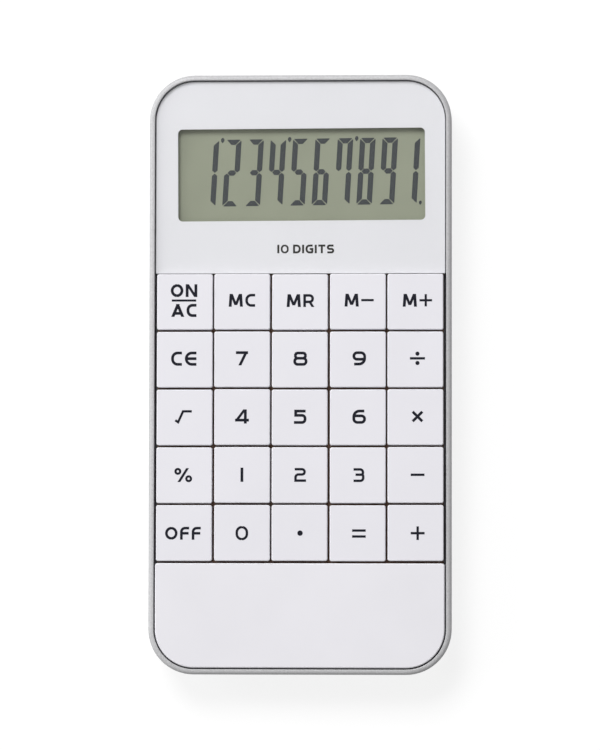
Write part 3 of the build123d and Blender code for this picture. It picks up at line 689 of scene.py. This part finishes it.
def print_stacked_legend(node):
    """Two words, one above the other, with a bar between them."""
    bm = bmesh.new()
    place = legend_place(node)
    rise = Vector((0, STACK_RISE))
    half_bar = Vector((STACK_BAR / 2, 0))
    patches = word_patches(("O", "N"), WORD_CAP, place + rise, STACK_WEIGHT)
    patches += word_patches(("A", "C"), WORD_CAP, place - rise, STACK_WEIGHT)
    patches += ribbon(*sides([place - half_bar, place + half_bar], False, STACK_BAR_WIDTH), False)
    add_ink(bm, patches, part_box(node)[1].z)
    add_piece("legend_on_ac", bm, node, MATERIALS["legend_ink"])


def print_caption():
    """The words under the display, on the mask behind the lens."""
    bm = bmesh.new()
    patches = word_patches(CAPTION, CAPTION_HEIGHT, CAPTION_PLACE, CAPTION_WEIGHT)
    add_ink(bm, patches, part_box("display_mask")[1].z)
    add_piece("display_caption", bm, BODY, MATERIALS["caption_ink"])


# Display digits


def flip_x(points):
    """An outline of an upright digit, mirrored from left to right."""
    return [(DIGIT_WIDTH - x, y) for x, y in points]


def flip_y(points):
    """An outline of an upright digit, mirrored from top to bottom."""
    return [(x, DIGIT_HEIGHT - y) for x, y in points]


def segment_outline(letter):
    """One segment of an upright digit, as corner points from the digit's lower left."""
    width, height, thick, gap = DIGIT_WIDTH, DIGIT_HEIGHT, SEGMENT_WIDTH, SEGMENT_GAP
    middle = height / 2
    bar = [(2 * gap, 0), (width - 2 * gap, 0), (width - thick - gap, thick), (thick + gap, thick)]
    half = thick / 2
    upright = [
        (0, 2 * gap), (thick, thick + gap), (thick, middle - half),
        (half, middle - gap), (0, middle - half),
    ]
    waist = [
        (half + 2 * gap, middle), (thick + gap, middle - half),
        (width - thick - gap, middle - half), (width - half - 2 * gap, middle),
        (width - thick - gap, middle + half), (thick + gap, middle + half),
    ]
    shapes = {
        "d": bar, "a": flip_y(bar), "e": upright, "c": flip_x(upright), "f": flip_y(upright),
        "b": flip_x(flip_y(upright)), "g": waist,
    }
    return shapes[letter]


def slanted(points, corner):
    """Points of an upright outline, rounded at the corners and leaning like the digits."""
    run = rounded([(x, y, corner) for x, y in points], True)
    return [Vector((point.x + point.y * DIGIT_SLANT, point.y)) for point in run]


def teardrop(centre, size):
    """A small mark that narrows downwards."""
    points = []
    for spot in circle(0, 0, 1):
        taper = 1 + TEARDROP_TAPER * min(spot.y, 0)
        points.append((centre.x + size.x * spot.x * taper, centre.y + size.y * spot.y))
    return points


def print_digits():
    """The number on the display, on the film in the window."""
    bm = bmesh.new()
    low_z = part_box("front_polariser")[1].z
    turn = Matrix.Rotation(DIGIT_TURN, 2)
    middle = Vector((len(DIGITS) * DIGIT_PITCH, DIGIT_HEIGHT)) / 2
    for index, digit in enumerate(DIGITS):
        start = Vector((index * DIGIT_PITCH, 0)) - middle
        outlines = [slanted(segment_outline(letter), SEGMENT_CORNER) for letter in SEGMENTS[digit]]
        if index in THOUSANDS_AFTER:
            outlines.append(slanted(teardrop(THOUSANDS_PLACE, THOUSANDS_SIZE), 0))
        if index == len(DIGITS) - 1:
            outlines.append(slanted(teardrop(POINT_PLACE, POINT_SIZE), 0))
        for outline in outlines:
            points = [DIGIT_START + middle + turn @ (start + point) for point in outline]
            add_polygon(bm, points, low_z, low_z + INK_THICKNESS)
    add_piece("display_digits", bm, BODY, MATERIALS["segment_ink"])


# Rubber keypad: a sheet with holes, and in each hole a dome


def mat_heights():
    """The heights of the keypad's underside, its sheet and the tops of its domes."""
    low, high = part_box("rubber_keypad")
    return low.z, high.z - DOME_RISE, high.z


def circle_spline(curve, centre, radius):
    """A round outline, added to a curve."""
    spline = curve.splines.new("POLY")
    spline.points.add(DOME_STEPS - 1)
    for step, point in enumerate(spline.points):
        angle = 2 * math.pi * step / DOME_STEPS
        point.co = (centre.x + radius * math.cos(angle), centre.y + radius * math.sin(angle), 0, 1)
    spline.use_cyclic_u = True


def keypad_sheet(keys):
    """The flat sheet, with a hole for each dome and for each screw boss that it lies over."""
    base_z, sheet_z, _ = mat_heights()
    low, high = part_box("rubber_keypad")
    curve = bpy.data.curves.new("keypad_sheet", "CURVE")
    curve.dimensions = "2D"
    curve.fill_mode = "BOTH"
    curve.extrude = (sheet_z - base_z) / 2
    corners = ((low.x, low.y), (high.x, low.y), (high.x, high.y), (low.x, high.y))
    edge = curve.splines.new("POLY")
    edge.points.add(len(corners) - 1)
    for point, (x, y) in zip(edge.points, corners):
        point.co = (x, y, 0, 1)
    edge.use_cyclic_u = True
    for key in keys:
        circle_spline(curve, key_centre(key), DOME_FOOT_RADIUS)
    screws = frame["nodes"]["board_screws"]
    for place in boss_places(screws):
        if low.y < place.y < high.y:
            circle_spline(curve, place, BOSS_HOLE_RADIUS)
    shaped = bpy.data.objects.new("keypad_sheet_shape", curve)
    shaped.location.z = (base_z + sheet_z) / 2
    mesh = bpy.data.meshes.new_from_object(shaped)
    mesh.transform(shaped.matrix_basis)
    bpy.data.objects.remove(shaped)
    mesh.materials.clear()
    mesh.materials.append(MATERIALS["keypad_rubber"])
    sheet = bpy.data.objects.new("keypad_sheet", mesh)
    bpy.context.scene.collection.objects.link(sheet)
    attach(sheet, BODY)
    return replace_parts(sheet, "rubber_keypad")


def boss_places(screws):
    """The middle of each loose part of a group of screws."""
    bm = bmesh.new()
    bm.from_mesh(screws.data)
    bmesh.ops.remove_doubles(bm, verts=bm.verts, dist=WELD_DISTANCE)
    places = []
    seen = set()
    for first in bm.verts:
        if first in seen:
            continue
        seen.add(first)
        part = [first]
        for vert in part:
            neighbours = [link.other_vert(vert) for link in vert.link_edges]
            new = [other for other in neighbours if other not in seen]
            seen.update(new)
            part.extend(new)
        places.append(sum((vert.co for vert in part), Vector()) / len(part))
    bm.free()
    return places


def spin(bm, profile, centre, index):
    """A closed profile of radius and height, turned about an upright axis."""
    rings = []
    for radius, z in profile:
        if radius == 0:
            rings.append([bm.verts.new((centre.x, centre.y, z))] * DOME_STEPS)
            continue
        ring_verts = []
        for step in range(DOME_STEPS):
            angle = 2 * math.pi * step / DOME_STEPS
            spot = (centre.x + radius * math.cos(angle), centre.y + radius * math.sin(angle), z)
            ring_verts.append(bm.verts.new(spot))
        rings.append(ring_verts)
    for this, other in zip(rings, rings[1:] + rings[:1]):
        for step in range(DOME_STEPS):
            after = (step + 1) % DOME_STEPS
            corners = dict.fromkeys((this[step], this[after], other[after], other[step]))
            if len(corners) > 2:
                bm.faces.new(corners).material_index = index


def keypad_dome(key):
    """One dome and the carbon contact on its inner roof."""
    base_z, sheet_z, top_z = mat_heights()
    roof_z = top_z - DOME_ROOF
    pill_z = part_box("carbon_pills")[0].z
    centre = key_centre(key)
    inner = DOME_RADIUS - DOME_WALL
    bm = bmesh.new()
    spin(bm, [
        (0, roof_z), (DOME_TOP_RADIUS - DOME_WALL, roof_z), (inner, sheet_z), (inner, base_z),
        (DOME_FOOT_RADIUS, base_z), (DOME_FOOT_RADIUS, sheet_z), (DOME_RADIUS, sheet_z),
        (DOME_TOP_RADIUS, top_z), (0, top_z),
    ], centre, 0)
    spin(bm, [(0, pill_z), (PILL_RADIUS, pill_z), (PILL_RADIUS, roof_z), (0, roof_z)], centre, 1)
    name = key.replace("key_", "dome_")
    dome = add_piece(name, bm, BODY, MATERIALS["keypad_rubber"], MATERIALS["carbon_rubber"])
    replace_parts(dome, "carbon_pills")
    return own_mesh(dome)


# Stage


def seen_directly(nodes, links, shown, otherwise):
    """One strength for what the eye, a reflection or clear plastic shows, and another for light."""
    path = nodes.new("ShaderNodeLightPath")
    total = nodes.new("ShaderNodeMath")
    total.operation = "MAXIMUM"
    links.new(path.outputs["Is Camera Ray"], total.inputs[0])
    more = nodes.new("ShaderNodeMath")
    more.operation = "MAXIMUM"
    links.new(path.outputs["Is Glossy Ray"], more.inputs[0])
    links.new(path.outputs["Is Transmission Ray"], more.inputs[1])
    links.new(more.outputs["Value"], total.inputs[1])
    spread = nodes.new("ShaderNodeMapRange")
    spread.inputs["To Min"].default_value = otherwise
    spread.inputs["To Max"].default_value = shown
    links.new(total.outputs["Value"], spread.inputs["Value"])
    return spread.outputs["Result"]


def make_floor():
    """A pale floor. From below it is clear, and light passes it close to the part and reaches the back."""
    mesh = bpy.data.meshes.new("floor")
    floor = bpy.data.objects.new("floor", mesh)
    bpy.context.scene.collection.objects.link(floor)
    bm = bmesh.new()
    half = FLOOR_SIZE / 2
    corners = ((-half, -half), (half, -half), (half, half), (-half, half))
    bm.faces.new([bm.verts.new((x, y, cad_low.z)) for x, y in corners])
    bm.to_mesh(mesh)
    bm.free()
    made, nodes, links = new_material("floor")
    output = nodes.new("ShaderNodeOutputMaterial")
    matt = nodes.new("ShaderNodeBsdfDiffuse")
    matt.inputs["Color"].default_value = (FLOOR_COLOUR, FLOOR_COLOUR, FLOOR_COLOUR, 1)
    lift = nodes.new("ShaderNodeEmission")
    links.new(seen_directly(nodes, links, FLOOR_LIFT, 0), lift.inputs["Strength"])
    both = nodes.new("ShaderNodeAddShader")
    links.new(matt.outputs["BSDF"], both.inputs[0])
    links.new(lift.outputs["Emission"], both.inputs[1])
    path = nodes.new("ShaderNodeLightPath")
    near = nodes.new("ShaderNodeMath")
    near.operation = "LESS_THAN"
    near.inputs[1].default_value = FLOOR_NEAR
    links.new(path.outputs["Ray Length"], near.inputs[0])
    side = nodes.new("ShaderNodeNewGeometry")
    passed = nodes.new("ShaderNodeMath")
    passed.operation = "MAXIMUM"
    links.new(near.outputs["Value"], passed.inputs[0])
    links.new(side.outputs["Backfacing"], passed.inputs[1])
    open_floor = nodes.new("ShaderNodeBsdfTransparent")
    shown = nodes.new("ShaderNodeMixShader")
    links.new(passed.outputs["Value"], shown.inputs["Fac"])
    links.new(both.outputs["Shader"], shown.inputs[1])
    links.new(open_floor.outputs["BSDF"], shown.inputs[2])
    links.new(shown.outputs["Shader"], output.inputs["Surface"])
    floor.data.materials.append(made)


def make_world():
    """White to the eye and in reflections, and a dimmer light on the part from all sides."""
    world = bpy.data.worlds.new("studio")
    bpy.context.scene.world = world
    world.use_nodes = True
    nodes, links = world.node_tree.nodes, world.node_tree.links
    nodes.clear()
    output = nodes.new("ShaderNodeOutputWorld")
    background = nodes.new("ShaderNodeBackground")
    links.new(seen_directly(nodes, links, BACKGROUND, AMBIENT), background.inputs["Strength"])
    links.new(background.outputs["Background"], output.inputs["Surface"])


def make_glare_guard():
    """A group that no lamp is mirrored in: the lens, so that the display shows from all sides."""
    guard = bpy.data.collections.new("glare_guard")
    guard.objects.link(frame["nodes"]["display_lens"])
    guard.collection_objects[0].light_linking.link_state = "EXCLUDE"
    return guard


def make_light(name, place, size, power, guard):
    """A square softbox that faces the part."""
    lamp = bpy.data.lights.new(name, "AREA")
    lamp.shape = "SQUARE"
    lamp.size = size
    lamp.energy = power
    holder = bpy.data.objects.new(name, lamp)
    holder.location = place
    holder.rotation_euler = (-place).to_track_quat("-Z", "Y").to_euler()
    holder.light_linking.receiver_collection = guard
    bpy.context.scene.collection.objects.link(holder)


def make_camera():
    """A long lens above the part, at the photograph's angle."""
    camera = bpy.data.cameras.new("camera")
    camera.sensor_width = CAMERA_SENSOR
    camera.lens = CAMERA_LENS
    holder = bpy.data.objects.new("camera", camera)
    holder.location = CAMERA_PLACE
    holder.rotation_euler = [math.radians(turn) for turn in CAMERA_TURN]
    bpy.context.scene.collection.objects.link(holder)
    bpy.context.scene.camera = holder


print_legends()
print_stacked_legend("key_on_ac")
print_caption()
print_digits()
keypad_sheet(keys)
for key in keys:
    keypad_dome(key)
make_floor()
make_world()
guard = make_glare_guard()
for name, (place, size, power) in LAMPS.items():
    make_light(name, place, size, power, guard)
make_camera()
bpy.context.scene.view_settings.view_transform = "Standard"
